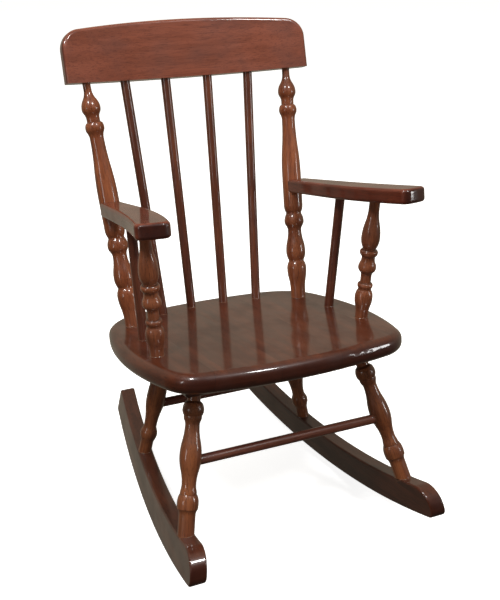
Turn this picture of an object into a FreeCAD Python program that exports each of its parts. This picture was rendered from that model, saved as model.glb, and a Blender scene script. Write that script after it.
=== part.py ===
import FreeCAD
import Part
import Sketcher
import math
import os

# A spindle-back rocking chair in turned hardwood, standing at rest on its two rockers.
# World frame: +Z up, the sitter faces -Y, +X is to the right of a person looking along +Y.
# The origin is on the floor, under the middle of the whole chair's box.
# Most of the chair is set out in the chair frame, which leans back with the seat: its
# origin is in the seat's top face, midway between the feet of the two back posts.

Vector = FreeCAD.Vector
Placement = FreeCAD.Placement
Rotation = FreeCAD.Rotation

DIMENSIONS = {
    # how the chair stands
    "rest_y": 24.7,
    "seat_recline": 9.7,
    "seat_rear_height": 265.0,
    "post_line_setback": 84.9,
    # seat plank: overall size, the radii of its outline and its rounded rim
    "seat_width": 412.0,
    "seat_depth": 410.0,
    "seat_back_overhang": 90.0,
    "seat_thickness": 30.0,
    "seat_front_radius": 600.0,
    "seat_front_corner": 62.0,
    "seat_side_radius": 500.0,
    "seat_back_corner": 100.0,
    "seat_back_radius": 600.0,
    "seat_widest_setback": 195.0,
    "seat_rim_share": 0.43,
    # cleats screwed under the seat
    "cleat_thickness": 19.0,
    "cleat_width": 38.0,
    "cleat_inset": 52.0,
    "cleat_edge_radius": 4.0,
    "front_cleat_setback": 91.5,
    "rear_cleat_setback": 116.0,
    # back posts
    "post_inset": 57.5,
    "post_splay": 3.5,
    "post_rake": 7.6,
    "crest_height": 379.0,
    "post_foot_diameter": 25.2,
    "post_bead_diameter": 33.0,
    "post_cove_diameter": 26.0,
    "post_waist_diameter": 23.0,
    "post_arm_diameter": 32.0,
    "post_taper_diameter": 22.0,
    "post_ring_diameter": 30.0,
    "post_throat_diameter": 20.8,
    "post_bulb_diameter": 29.8,
    "post_neck_diameter": 12.4,
    # back spindles
    "spindle_diameter": 15.0,
    "inner_spindle_foot": 29.4,
    "outer_spindle_foot": 84.9,
    "inner_spindle_head": 36.2,
    "outer_spindle_head": 106.1,
    "spindle_foot_arc": 235.0,
    # crest rail
    "crest_overhang": 34.0,
    "crest_bow_radius": 855.0,
    "crest_thickness": 22.0,
    "crest_middle_height": 92.0,
    "crest_arch_radius": 1500.0,
    "crest_corner_radius": 32.0,
    "crest_edge_radius": 5.0,
    # arms
    "arm_height": 177.5,
    "arm_rise": 2.2,
    "arm_thickness": 22.0,
    "arm_post_lap": 11.9,
    "arm_rear_gap": 9.0,
    "arm_rear_width": 32.5,
    "arm_middle_width": 43.0,
    "arm_front_width": 45.0,
    "arm_straight": 125.0,
    "arm_swing": 27.0,
    "arm_inner_length": 328.0,
    "arm_outer_length": 314.0,
    "arm_front_radius": 90.0,
    "arm_outer_sweep": 1500.0,
    "arm_front_corner": 12.0,
    "arm_rear_corner": 6.0,
    "arm_edge_radius": 5.0,
    # sticks under the arms
    "arm_stick_splay": 4.0,
    "arm_stick_rake": 9.7,
    "arm_post_inset": 37.3,
    "arm_post_setback": 142.0,
    "arm_rod_inset": 46.1,
    "arm_rod_setback": 232.0,
    "arm_rod_diameter": 15.0,
    "arm_post_foot_diameter": 20.0,
    "arm_post_bead_diameter": 28.0,
    "arm_post_ring_diameter": 24.0,
    "arm_post_waist_diameter": 16.8,
    "arm_post_cove_diameter": 20.6,
    "arm_post_bulb_diameter": 28.8,
    "arm_post_neck_diameter": 16.4,
    # legs
    "leg_inset": 70.6,
    "rear_leg_inset": 98.0,
    "leg_splay": 13.1,
    "front_leg_rake": 12.2,
    "rear_leg_rake": 10.6,
    "leg_head_diameter": 19.0,
    "leg_bead_diameter": 31.0,
    "leg_throat_diameter": 20.8,
    "leg_vase_diameter": 31.6,
    "leg_foot_diameter": 24.2,
    "leg_ring_diameter": 26.0,
    "rear_leg_bead_diameter": 28.2,
    "rear_leg_vase_diameter": 31.0,
    "rear_leg_foot_diameter": 21.0,
    # stretchers
    "stretcher_diameter": 14.6,
    "front_stretcher_drop": 142.0,
    "rear_stretcher_drop": 136.0,
    "stretcher_depth": 9.0,
    # rockers
    "rocker_radius": 965.0,
    "rocker_depth": 48.0,
    "rocker_thickness": 24.5,
    "rocker_front_reach": 305.0,
    "rocker_back_reach": 239.5,
    "rocker_lean": 8.2,
    "rocker_toe_radius": 32.0,
    "rocker_heel_radius": 8.0,
    "rocker_tip_radius": 12.0,
    "rocker_rear_tip_radius": 6.0,
    "rocker_edge_radius": 2.5,
    # joints and fasteners
    "glue_gap": 0.1,
    "drill_lead": 12.0,
    "shoulder_sink": 4.0,
    "tenon_diameter": 16.0,
    "tenon_depth": 18.0,
    "stick_depth": 16.0,
    "arm_socket_depth": 13.0,
    "foot_allowance": 10.0,
    "dowel_diameter": 8.0,
    "dowel_length": 44.0,
    "dowel_past_axis": 6.0,
    "screw_diameter": 4.0,
    "screw_head_diameter": 8.0,
    "cleat_screw_length": 36.0,
    "cleat_screw_inner": 40.0,
    "cleat_screw_outer": 84.0,
    "rocker_screw_length": 58.0,
    "rocker_screw_recess": 10.0,
}

doc = FreeCAD.newDocument("RockingChair")
sheet = doc.addObject("Spreadsheet::Sheet", "Dimensions")
sheet_rows = []


def enter(alias, value):
    """Write one named number into the next row of the sheet."""
    sheet_rows.append(alias)
    row = len(sheet_rows)
    sheet.set(f"A{row}", alias)
    sheet.set(f"B{row}", str(value))
    sheet.setAlias(f"B{row}", alias)


for dimension_name, dimension_value in DIMENSIONS.items():
    enter(dimension_name, dimension_value)
doc.recompute()


class Size:
    """A length that carries both its number and the sheet expression that gives it."""

    def __init__(self, value, text):
        self.value = float(value)
        self.text = text

    def join(self, sign, other, value):
        other_text = other.text if isinstance(other, Size) else repr(float(other))
        return Size(value, f"({self.text} {sign} {other_text})")

    def __add__(self, other):
        return self.join("+", other, self.value + number(other))

    def __sub__(self, other):
        return self.join("-", other, self.value - number(other))

    def __mul__(self, other):
        return self.join("*", other, self.value * number(other))

    def __truediv__(self, other):
        return self.join("/", other, self.value / number(other))

    def __neg__(self):
        return Size(-self.value, f"(-1 * {self.text})")


def number(size):
    return size.value if isinstance(size, Size) else float(size)


def dim(alias):
    """The named cell of the sheet as a Size."""
    return Size(getattr(sheet, alias), f"Dimensions.{alias}")


def mm(alias):
    """The named cell of the sheet as a plain number."""
    return float(getattr(sheet, alias))


def degrees(alias):
    return math.radians(mm(alias))


def root(size):
    return Size(math.sqrt(size.value), f"sqrt({size.text})")


def derive(alias, value):
    """Enter a length that the set-out below works out, so that features can be bound to it."""
    enter(alias, round(value, 6))
    doc.recompute()
    return dim(alias)


NOTHING = Size(0.0, "0")

# ---------------------------------------------------------------------------
# Set-out: where every stick starts, and which way it points
# ---------------------------------------------------------------------------

chair = Placement(
    Vector(0, mm("rest_y") + mm("post_line_setback"), mm("seat_rear_height")),
    Rotation(Vector(1, 0, 0), -mm("seat_recline")),
)
rocker_axis = Vector(0, mm("rest_y"), mm("rocker_radius"))
SIDES = {"left": -1, "right": 1}

half_seat = mm("seat_width") / 2
seat_front_y = mm("seat_back_overhang") - mm("seat_depth")
cleat_bottom_z = -(mm("seat_thickness") + mm("cleat_thickness"))
rocker_top_radius = mm("rocker_radius") - mm("rocker_depth")


def slope(sign, splay, rake):
    """A direction one unit tall that leans outward by splay and backward by rake."""
    return Vector(sign * math.tan(splay), math.tan(rake), 1)


def arc_drop(radius, reach):
    """How far an arc has fallen away from its crown at this reach."""
    return radius - math.sqrt(radius ** 2 - reach ** 2)


post_x = half_seat - mm("post_inset")
post_head_x = post_x + mm("crest_height") * math.tan(degrees("post_splay"))
post_head_y = mm("crest_height") * math.tan(degrees("post_rake"))
post_arm_y = mm("arm_height") * math.tan(degrees("post_rake"))
arm_origin = Vector(0, post_arm_y, mm("arm_height"))
arm_frame = chair.multiply(Placement(arm_origin, Rotation(Vector(1, 0, 0), -mm("arm_rise"))))


def bowed(radius, x):
    """How far forward of its middle a backward-bowed curve is at x."""
    return -arc_drop(radius, x)


class Stick:
    """The axis of one straight stick, from the joint at its foot to the joint at its head."""

    def __init__(self, foot, head):
        self.foot = foot
        self.head = head
        self.way = (head - foot).normalize()
        self.length = (head - foot).Length

    def placement(self):
        return Placement(self.foot, Rotation(Vector(0, 0, 1), self.way))

    def at(self, distance):
        return self.foot + self.way * distance


def in_chair(foot, head):
    return Stick(chair.multVec(foot), chair.multVec(head))


def arm_stick(sign, inset, setback):
    """A stick under an arm, from the seat up to the arm's sloping underside."""
    foot = Vector(sign * (half_seat - mm(inset)), seat_front_y + mm(setback), 0)
    way = slope(sign, degrees("arm_stick_splay"), -degrees("arm_stick_rake"))
    rise = math.tan(degrees("arm_rise"))
    height = (mm("arm_height") + rise * (post_arm_y - foot.y)) / (1 + rise * way.y)
    return in_chair(foot, foot + way * height)


def reach_to_arc(start, way, radius):
    """How far a line runs from start before it leaves the rockers' arc of this radius."""
    from_axis = start - rocker_axis
    across = way.y ** 2 + way.z ** 2
    toward = from_axis.y * way.y + from_axis.z * way.z
    short = from_axis.y ** 2 + from_axis.z ** 2 - radius ** 2
    return (-toward + math.sqrt(toward ** 2 - across * short)) / across


def leg(sign, inset, y, rake):
    """A leg, from the rocker's top edge up to the cleat under the seat."""
    head = chair.multVec(Vector(sign * (half_seat - mm(inset)), y, cleat_bottom_z))
    way = chair.Rotation.multVec(-slope(-sign, degrees("leg_splay"), rake)).normalize()
    return Stick(head + way * reach_to_arc(head, way, rocker_top_radius), head)


def across_chair(left, right, drop):
    """A stretcher between two legs, at this depth below the seat's top face."""
    ends = []
    for stick in (left, right):
        head = chair.inverse().multVec(stick.head)
        foot = chair.inverse().multVec(stick.foot)
        share = (head.z + drop) / (head.z - foot.z)
        ends.append(stick.head + (stick.foot - stick.head) * share)
    return Stick(ends[0], ends[1])


front_leg_y = seat_front_y + mm("front_cleat_setback")
rear_leg_y = mm("seat_back_overhang") - mm("rear_cleat_setback")
spindle_places = [
    (sign * mm(f"{row}_spindle_foot"), sign * mm(f"{row}_spindle_head"))
    for sign, row in ((-1, "outer"), (-1, "inner"), (1, "inner"), (1, "outer"))
]
foot_arc_crown = arc_drop(mm("spindle_foot_arc"), post_x)
crest_middle_y = post_head_y + arc_drop(mm("crest_bow_radius"), post_head_x)

back_posts = {}
arm_posts = {}
arm_rods = {}
front_legs = {}
rear_legs = {}
for side, sign in SIDES.items():
    back_posts[side] = in_chair(
        Vector(sign * post_x, 0, 0),
        Vector(sign * post_head_x, post_head_y, mm("crest_height")),
    )
    arm_posts[side] = arm_stick(sign, "arm_post_inset", "arm_post_setback")
    arm_rods[side] = arm_stick(sign, "arm_rod_inset", "arm_rod_setback")
    front_legs[side] = leg(sign, "leg_inset", front_leg_y, degrees("front_leg_rake"))
    rear_legs[side] = leg(sign, "rear_leg_inset", rear_leg_y, -degrees("rear_leg_rake"))

spindles = []
for foot_x, head_x in spindle_places:
    foot_y = foot_arc_crown + bowed(mm("spindle_foot_arc"), foot_x)
    head_y = crest_middle_y + bowed(mm("crest_bow_radius"), head_x)
    spindles.append(in_chair(Vector(foot_x, foot_y, 0), Vector(head_x, head_y, mm("crest_height"))))

front_stretcher = across_chair(front_legs["left"], front_legs["right"], mm("front_stretcher_drop"))
rear_stretcher = across_chair(rear_legs["left"], rear_legs["right"], mm("rear_stretcher_drop"))

# ---------------------------------------------------------------------------
# Drawing: sketches whose corners and radii are bound to the sheet
# ---------------------------------------------------------------------------

sub_parts = []


def kept(feature, label):
    """Give a finished sub-part the name it is known by."""
    feature.Label = label
    sub_parts.append(feature)
    return feature


def new_sketch(body, name, plane):
    """A sketch on one of the body's own origin planes."""
    sketch = body.newObject("Sketcher::SketchObject", name)
    planes = {feature.Role: feature for feature in body.Origin.OriginFeatures}
    sketch.AttachmentSupport = (planes[plane], "")
    sketch.MapMode = "FlatFace"
    return sketch


def bind(sketch, constraint, text):
    index = sketch.addConstraint(constraint)
    sketch.setExpression(f"Constraints[{index}]", text)


def pin(sketch, edge, end, across, up):
    """Hold one end of an edge at (across, up) from the sketch's origin."""
    for kind, size, axis in (("DistanceX", across, -2), ("DistanceY", up, -1)):
        if abs(size.value) < 1e-9:
            sketch.addConstraint(Sketcher.Constraint("PointOnObject", edge, end, axis))
        else:
            bind(sketch, Sketcher.Constraint(kind, -1, 1, edge, end, size.value), size.text)


def arc_middle(start, finish, centre):
    """The point half-way along the shorter arc from start to finish about centre."""
    half_way = (start + finish) * 0.5 - centre
    return centre + half_way.normalize() * (start - centre).Length


def draw_loop(sketch, corners, edges):
    """A closed outline. Each edge runs from its corner to the next: a "line", an arc that is
    upright at its first or last corner ("upright first", "upright last"), or (radius, turn)
    for an arc of that radius whose centre lies to the left (+1) or right (-1) of the way."""
    points = [Vector(across.value, up.value, 0) for across, up in corners]
    drawn = []
    for place, edge in enumerate(edges):
        start = points[place]
        finish = points[(place + 1) % len(points)]
        if edge == "line":
            index = sketch.addGeometry(Part.LineSegment(start, finish))
        else:
            chord = finish - start
            if edge == "upright first":
                centre = start + Vector(chord.Length ** 2 / (2 * chord.x), 0, 0)
            elif edge == "upright last":
                centre = finish - Vector(chord.Length ** 2 / (2 * chord.x), 0, 0)
            else:
                radius, turn = edge
                normal = Vector(-chord.y, chord.x, 0).normalize()
                stand_off = math.sqrt(radius.value ** 2 - (chord.Length / 2) ** 2)
                centre = (start + finish) * 0.5 + normal * (stand_off * turn)
            index = sketch.addGeometry(Part.Arc(start, arc_middle(start, finish, centre), finish))
        first = 1 if sketch.getPoint(index, 1).distanceToPoint(start) < 1e-6 else 2
        drawn.append((index, first, 3 - first))
        if edge == "upright first":
            sketch.addConstraint(Sketcher.Constraint("Horizontal", index, 3, index, first))
        elif edge == "upright last":
            sketch.addConstraint(Sketcher.Constraint("Horizontal", index, 3, index, 3 - first))
        elif edge != "line":
            bind(sketch, Sketcher.Constraint("Radius", index, edge[0].value), edge[0].text)
    for place, (index, first, last) in enumerate(drawn):
        after, after_first, _ = drawn[(place + 1) % len(drawn)]
        sketch.addConstraint(Sketcher.Constraint("Coincident", index, last, after, after_first))
        pin(sketch, index, first, *corners[place])


def pad(body, sketch, size, both_ways=False):
    feature = body.newObject("PartDesign::Pad", sketch.Name + "Pad")
    feature.Profile = sketch
    feature.setExpression("Length", size.text)
    feature.Midplane = both_ways
    return feature


def round_edges(body, size, chosen):
    """Fillet the edges of the body's newest feature that the test picks out."""
    doc.recompute()
    tip = body.Tip
    names = [f"Edge{place}" for place, edge in enumerate(tip.Shape.Edges, start=1) if chosen(edge)]
    fillet = body.newObject("PartDesign::Fillet", f"{body.Name}Fillet{len(body.Group)}")
    fillet.Base = (tip, names)
    fillet.setExpression("Radius", size.text)
    return fillet


def bored(blank, cutters, name):
    """The blank with its sockets and screw holes drilled."""
    tools = doc.addObject("Part::Compound", name + "_drillings")
    tools.Links = cutters
    cut = doc.addObject("Part::Cut", name + "_bored")
    cut.Base = blank
    cut.Tool = tools
    return cut


def drill(name, start, way, diameter, depth):
    """A round hole that goes into a piece at start, along way, and opens a little before it."""
    hole = doc.addObject("Part::Cylinder", name)
    hole.setExpression("Radius", (diameter / 2 + dim("glue_gap")).text)
    hole.setExpression("Height", (depth + dim("glue_gap") + dim("drill_lead")).text)
    hole.Placement = Placement(start - way * mm("drill_lead"), Rotation(Vector(0, 0, 1), way))
    return hole


# ---------------------------------------------------------------------------
# Turned pieces: a half outline spun round the stick's own axis
# ---------------------------------------------------------------------------


def turn_on_lathe(name, stick, stations):
    """A stick turned to stations of (height on its axis, diameter, way on to the next).
    A "bead" is round at its wider end, a "cove" at its narrower end, an "ogee" at both."""
    corners = [(NOTHING, stations[0][0])]
    edges = ["line"]
    for (height, diameter, way_on), (next_height, next_diameter, _) in zip(stations, stations[1:]):
        widening = next_diameter.value > diameter.value
        corners.append((diameter / 2, height))
        if way_on == "ogee":
            edges.append("upright first")
            corners.append(((diameter + next_diameter) / 4, (height + next_height) / 2))
            edges.append("upright last")
        elif way_on == "line":
            edges.append("line")
        else:
            edges.append("upright last" if widening == (way_on == "bead") else "upright first")
    corners.append((stations[-1][1] / 2, stations[-1][0]))
    edges.append("line")
    corners.append((NOTHING, stations[-1][0]))
    edges.append("line")
    body = doc.addObject("PartDesign::Body", name + "_turned")
    sketch = new_sketch(body, name + "_half_outline", "XZ_Plane")
    draw_loop(sketch, corners, edges)
    spun = body.newObject("PartDesign::Revolution", name + "_spun")
    spun.Profile = sketch
    spun.ReferenceAxis = (sketch, ["V_Axis"])
    spun.Angle = 360
    body.Placement = stick.placement()
    return body


def rod(name, stick, diameter, foot_depth, head_depth):
    """A plain dowel rod that runs on into the sockets at its two ends."""
    head_end = derive(name + "_length", stick.length) + head_depth
    return turn_on_lathe(name, stick, [(-foot_depth, diameter, "line"), (head_end, diameter, "line")])


def let_in_foot():
    """The foot of a turned post: its shoulder is let into the seat above a thinner tenon."""
    sink = dim("shoulder_sink")
    return [
        (-(sink + dim("tenon_depth")), dim("tenon_diameter"), "line"),
        (-sink, dim("tenon_diameter"), "line"),
    ]


def back_post(side):
    """Four turnings up the post: long ball, vase, ball, then a long taper, ring and bulb."""
    name = f"{side}_back_post"
    stick = back_posts[side]
    length = derive(name + "_length", stick.length)
    stations = let_in_foot() + [
        (-dim("shoulder_sink"), dim("post_foot_diameter"), "line"),
        (length * 0.035, dim("post_foot_diameter"), "ogee"),
        (length * 0.128, dim("post_bead_diameter"), "bead"),
        (length * 0.160, dim("post_cove_diameter"), "line"),
        (length * 0.166, dim("post_cove_diameter"), "bead"),
        (length * 0.203, dim("post_bead_diameter"), "ogee"),
        (length * 0.298, dim("post_waist_diameter"), "ogee"),
        (length * 0.338, dim("post_bead_diameter"), "bead"),
        (length * 0.371, dim("post_cove_diameter"), "line"),
        (length * 0.377, dim("post_cove_diameter"), "bead"),
        (length * 0.408, dim("post_arm_diameter"), "line"),
        (length * 0.545, dim("post_arm_diameter"), "ogee"),
        (length * 0.785, dim("post_taper_diameter"), "cove"),
        (length * 0.808, dim("post_cove_diameter"), "bead"),
        (length * 0.826, dim("post_ring_diameter"), "bead"),
        (length * 0.846, dim("post_cove_diameter"), "line"),
        (length * 0.851, dim("post_throat_diameter"), "line"),
        (length * 0.866, dim("post_throat_diameter"), "ogee"),
        (length * 0.905, dim("post_bulb_diameter"), "ogee"),
        (length * 0.980, dim("post_neck_diameter"), "line"),
        (length + dim("stick_depth"), dim("post_neck_diameter"), "line"),
    ]
    return turn_on_lathe(name, stick, stations)


def arm_post(side):
    """Under the arm: foot bulb, ring, waist, ball, ring, then a vase that tapers upward."""
    name = f"{side}_arm_post"
    stick = arm_posts[side]
    length = derive(name + "_length", stick.length)
    stations = let_in_foot() + [
        (-dim("shoulder_sink"), dim("arm_post_foot_diameter"), "line"),
        (length * 0.030, dim("arm_post_foot_diameter"), "ogee"),
        (length * 0.180, dim("arm_post_bead_diameter"), "bead"),
        (length * 0.245, dim("arm_post_cove_diameter"), "line"),
        (length * 0.258, dim("arm_post_cove_diameter"), "bead"),
        (length * 0.284, dim("arm_post_ring_diameter"), "bead"),
        (length * 0.308, dim("arm_post_waist_diameter"), "line"),
        (length * 0.368, dim("arm_post_waist_diameter"), "ogee"),
        (length * 0.435, dim("arm_post_bead_diameter"), "ogee"),
        (length * 0.515, dim("arm_post_cove_diameter"), "line"),
        (length * 0.530, dim("arm_post_cove_diameter"), "bead"),
        (length * 0.566, dim("arm_post_bead_diameter"), "bead"),
        (length * 0.592, dim("arm_post_cove_diameter"), "line"),
        (length * 0.600, dim("arm_post_cove_diameter"), "bead"),
        (length * 0.683, dim("arm_post_bulb_diameter"), "ogee"),
        (length * 0.930, dim("arm_post_neck_diameter"), "line"),
        (length + dim("arm_socket_depth"), dim("arm_post_neck_diameter"), "line"),
    ]
    return turn_on_lathe(name, stick, stations)


def front_leg(side):
    """From the rocker up: foot, ball, waist, long vase for the stretcher, throat and ball."""
    name = f"{side}_front_leg"
    stick = front_legs[side]
    length = derive(name + "_length", stick.length)
    stations = [
        (-dim("foot_allowance"), dim("leg_foot_diameter"), "line"),
        (length * 0.140, dim("leg_foot_diameter"), "cove"),
        (length * 0.180, dim("post_ring_diameter"), "bead"),
        (length * 0.222, dim("leg_bead_diameter"), "bead"),
        (length * 0.280, dim("leg_ring_diameter"), "line"),
        (length * 0.284, dim("leg_foot_diameter"), "ogee"),
        (length * 0.350, dim("leg_throat_diameter"), "ogee"),
        (length * 0.550, dim("leg_vase_diameter"), "ogee"),
        (length * 0.775, dim("leg_throat_diameter"), "ogee"),
        (length * 0.830, dim("leg_ring_diameter"), "line"),
        (length * 0.840, dim("leg_ring_diameter"), "bead"),
        (length * 0.880, dim("leg_bead_diameter"), "bead"),
        (length * 0.930, dim("leg_ring_diameter"), "line"),
        (length * 0.945, dim("leg_head_diameter"), "line"),
        (length + dim("stick_depth"), dim("leg_head_diameter"), "line"),
    ]
    return turn_on_lathe(name, stick, stations)


def rear_leg(side):
    """From the rocker up: foot, ball, waist, and a long vase that takes the stretcher."""
    name = f"{side}_rear_leg"
    stick = rear_legs[side]
    length = derive(name + "_length", stick.length)
    stations = [
        (-dim("foot_allowance"), dim("rear_leg_foot_diameter"), "line"),
        (length * 0.085, dim("rear_leg_foot_diameter"), "ogee"),
        (length * 0.185, dim("rear_leg_bead_diameter"), "ogee"),
        (length * 0.275, dim("leg_throat_diameter"), "ogee"),
        (length * 0.560, dim("rear_leg_vase_diameter"), "ogee"),
        (length * 0.960, dim("leg_head_diameter"), "line"),
        (length + dim("stick_depth"), dim("leg_head_diameter"), "line"),
    ]
    return turn_on_lathe(name, stick, stations)


def arm_rod(side):
    diameter = dim("arm_rod_diameter")
    return rod(f"{side}_arm_rod", arm_rods[side], diameter, dim("stick_depth"), dim("arm_socket_depth"))


def coped_leg(turned, stick, name):
    """The leg's foot is hollowed to sit on the rocker's curved top, then given its tenon."""
    hollow = doc.addObject("Part::Cylinder", name + "_hollow")
    hollow.setExpression("Radius", (dim("rocker_radius") - dim("rocker_depth") - dim("glue_gap")).text)
    hollow.setExpression("Height", (dim("seat_width") * 2).text)
    start = rocker_axis - Vector(mm("seat_width"), 0, 0)
    hollow.Placement = Placement(start, Rotation(Vector(0, 0, 1), Vector(1, 0, 0)))
    coped = doc.addObject("Part::Common", name + "_coped")
    coped.Base = turned
    coped.Tool = hollow
    tenon = doc.addObject("Part::Cylinder", name + "_tenon")
    tenon.setExpression("Radius", (dim("tenon_diameter") / 2).text)
    tenon.setExpression("Height", (dim("tenon_depth") + dim("foot_allowance")).text)
    tenon_end = stick.foot - stick.way * mm("tenon_depth")
    tenon.Placement = Placement(tenon_end, Rotation(Vector(0, 0, 1), stick.way))
    leg_and_tenon = doc.addObject("Part::Fuse", name + "_and_tenon")
    leg_and_tenon.Base = coped
    leg_and_tenon.Tool = tenon
    return leg_and_tenon


# ---------------------------------------------------------------------------
# Seat: a thick plank, rounded all the way round its rim
# ---------------------------------------------------------------------------


def meeting_point(first, first_reach, second, second_reach, toward):
    """Where two circles in the XY plane cross, on the side that lies toward a point."""
    gap = second - first
    along = (gap.Length ** 2 + first_reach ** 2 - second_reach ** 2) / (2 * gap.Length)
    off = math.sqrt(first_reach ** 2 - along ** 2)
    gap.normalize()
    across = Vector(-gap.y, gap.x, 0)
    choices = [first + gap * along + across * (off * turn) for turn in (1, -1)]
    return min(choices, key=lambda point: point.distanceToPoint(toward))


def seat_blank():
    """The plank's outline is eight arcs, each tangent to the next."""
    back_y = mm("seat_back_overhang")
    middle_y = seat_front_y + mm("seat_widest_setback")
    front = (Vector(0, seat_front_y + mm("seat_front_radius"), 0), dim("seat_front_radius"))
    back = (Vector(0, back_y - mm("seat_back_radius"), 0), dim("seat_back_radius"))
    rings = []
    for sign in SIDES.values():
        flank = (Vector(sign * (half_seat - mm("seat_side_radius")), middle_y, 0), dim("seat_side_radius"))
        corners = []
        for end, alias, corner_y in (
            (front, "seat_front_corner", seat_front_y),
            (back, "seat_back_corner", back_y),
        ):
            radius = dim(alias)
            end_reach = end[1].value - radius.value
            flank_reach = flank[1].value - radius.value
            outside = Vector(sign * half_seat, corner_y, 0)
            corners.append((meeting_point(end[0], end_reach, flank[0], flank_reach, outside), radius))
        rings.append((flank, corners))
    (left_flank, (left_front, left_back)), (right_flank, (right_front, right_back)) = rings
    ring = [front, right_front, right_flank, right_back, back, left_back, left_flank, left_front]
    joins = []
    for place, (centre, radius) in enumerate(ring):
        other_centre, other_radius = ring[(place + 1) % len(ring)]
        big, small = (centre, other_centre) if radius.value > other_radius.value else (other_centre, centre)
        reach = max(radius.value, other_radius.value)
        joins.append(big + (small - big).normalize() * reach)
    body = doc.addObject("PartDesign::Body", "seat_plank")
    sketch = new_sketch(body, "seat_outline", "XY_Plane")
    drawn = []
    for place, (centre, radius) in enumerate(ring):
        start = joins[place - 1]
        finish = joins[place]
        index = sketch.addGeometry(Part.Arc(start, arc_middle(start, finish, centre), finish))
        bind(sketch, Sketcher.Constraint("Radius", index, radius.value), radius.text)
        drawn.append(index)
    for place, index in enumerate(drawn):
        after = drawn[(place + 1) % len(drawn)]
        sketch.addConstraint(Sketcher.Constraint("Tangent", index, 2, after, 1))
    front_arc, back_arc = drawn[0], drawn[4]
    right_arc, left_arc = drawn[2], drawn[6]
    front_centre = dim("seat_front_radius") + dim("seat_back_overhang") - dim("seat_depth")
    back_centre = dim("seat_back_overhang") - dim("seat_back_radius")
    middle = dim("seat_back_overhang") - dim("seat_depth") + dim("seat_widest_setback")
    side_centre = dim("seat_width") / 2 - dim("seat_side_radius")
    pin(sketch, front_arc, 3, NOTHING, front_centre)
    pin(sketch, back_arc, 3, NOTHING, back_centre)
    pin(sketch, right_arc, 3, side_centre, middle)
    pin(sketch, left_arc, 3, -side_centre, middle)
    plank = pad(body, sketch, dim("seat_thickness"))
    plank.Reversed = True
    rim = dim("seat_thickness") * dim("seat_rim_share")
    round_edges(body, rim, lambda edge: edge.BoundBox.ZLength < 1.0)
    body.Placement = chair
    return body


# ---------------------------------------------------------------------------
# Cleats: two straight battens under the seat that carry the legs
# ---------------------------------------------------------------------------


def cleat_blank(name, y):
    """A batten as wide as the legs are apart, with its lower edges eased."""
    body = doc.addObject("PartDesign::Body", name + "_batten")
    sketch = new_sketch(body, name + "_outline", "XY_Plane")
    reach = dim("seat_width") / 2 - dim("cleat_inset")
    half = dim("cleat_width") / 2
    draw_loop(sketch, [(-reach, -half), (reach, -half), (reach, half), (-reach, half)], ["line"] * 4)
    pad(body, sketch, dim("cleat_thickness"))
    round_edges(
        body,
        dim("cleat_edge_radius"),
        lambda edge: edge.BoundBox.ZMax < 0.1 or edge.BoundBox.ZLength > 1.0,
    )
    body.Placement = chair.multiply(Placement(Vector(0, y, cleat_bottom_z), Rotation()))
    return body


# ---------------------------------------------------------------------------
# Crest rail: a bowed board with an arched top, across the heads of posts and spindles
# ---------------------------------------------------------------------------


def crest_blank():
    """The bowed strip is padded upward, and all that lies above the arch is cut from it."""
    body = doc.addObject("PartDesign::Body", "crest_board")
    reach = derive("crest_post_x", post_head_x) + dim("crest_overhang")
    front = dim("crest_bow_radius") - dim("crest_thickness") / 2
    back = dim("crest_bow_radius") + dim("crest_thickness") / 2
    front_y = root(front * front - reach * reach) - dim("crest_bow_radius")
    back_y = root(back * back - reach * reach) - dim("crest_bow_radius")
    strip = new_sketch(body, "crest_plan", "XY_Plane")
    draw_loop(
        strip,
        [(-reach, front_y), (reach, front_y), (reach, back_y), (-reach, back_y)],
        [(front, -1), "line", (back, 1), "line"],
    )
    pad(body, strip, dim("crest_middle_height"))

    arch = dim("crest_arch_radius")
    corner = dim("crest_corner_radius")
    arch_centre = dim("crest_middle_height") - arch
    corner_x = reach - corner
    inner_reach = arch - corner
    corner_z = arch_centre + root(inner_reach * inner_reach - corner_x * corner_x)
    shoulder_x = corner_x * (arch / inner_reach)
    shoulder_z = arch_centre + (corner_z - arch_centre) * (arch / inner_reach)
    outside = reach + dim("crest_thickness")
    above = dim("crest_middle_height") + dim("crest_thickness")
    sketch = new_sketch(body, "crest_arch", "XZ_Plane")
    draw_loop(
        sketch,
        [
            (-reach, corner_z),
            (-shoulder_x, shoulder_z),
            (shoulder_x, shoulder_z),
            (reach, corner_z),
            (outside, corner_z),
            (outside, above),
            (-outside, above),
            (-outside, corner_z),
        ],
        [(corner, -1), (arch, -1), (corner, -1)] + ["line"] * 5,
    )
    waste = body.newObject("PartDesign::Pocket", "crest_waste")
    waste.Profile = sketch
    waste.Type = "ThroughAll"
    waste.Midplane = True
    doc.recompute()
    round_edges(body, dim("crest_edge_radius"), lambda edge: edge.BoundBox.ZMax > corner_z.value + 1.0)
    lean = Rotation(Vector(1, 0, 0), -mm("post_rake"))
    body.Placement = chair.multiply(Placement(Vector(0, crest_middle_y, mm("crest_height")), lean))
    return body


# ---------------------------------------------------------------------------
# Arms: flat boards that widen and swing outward toward the front
# ---------------------------------------------------------------------------


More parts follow.
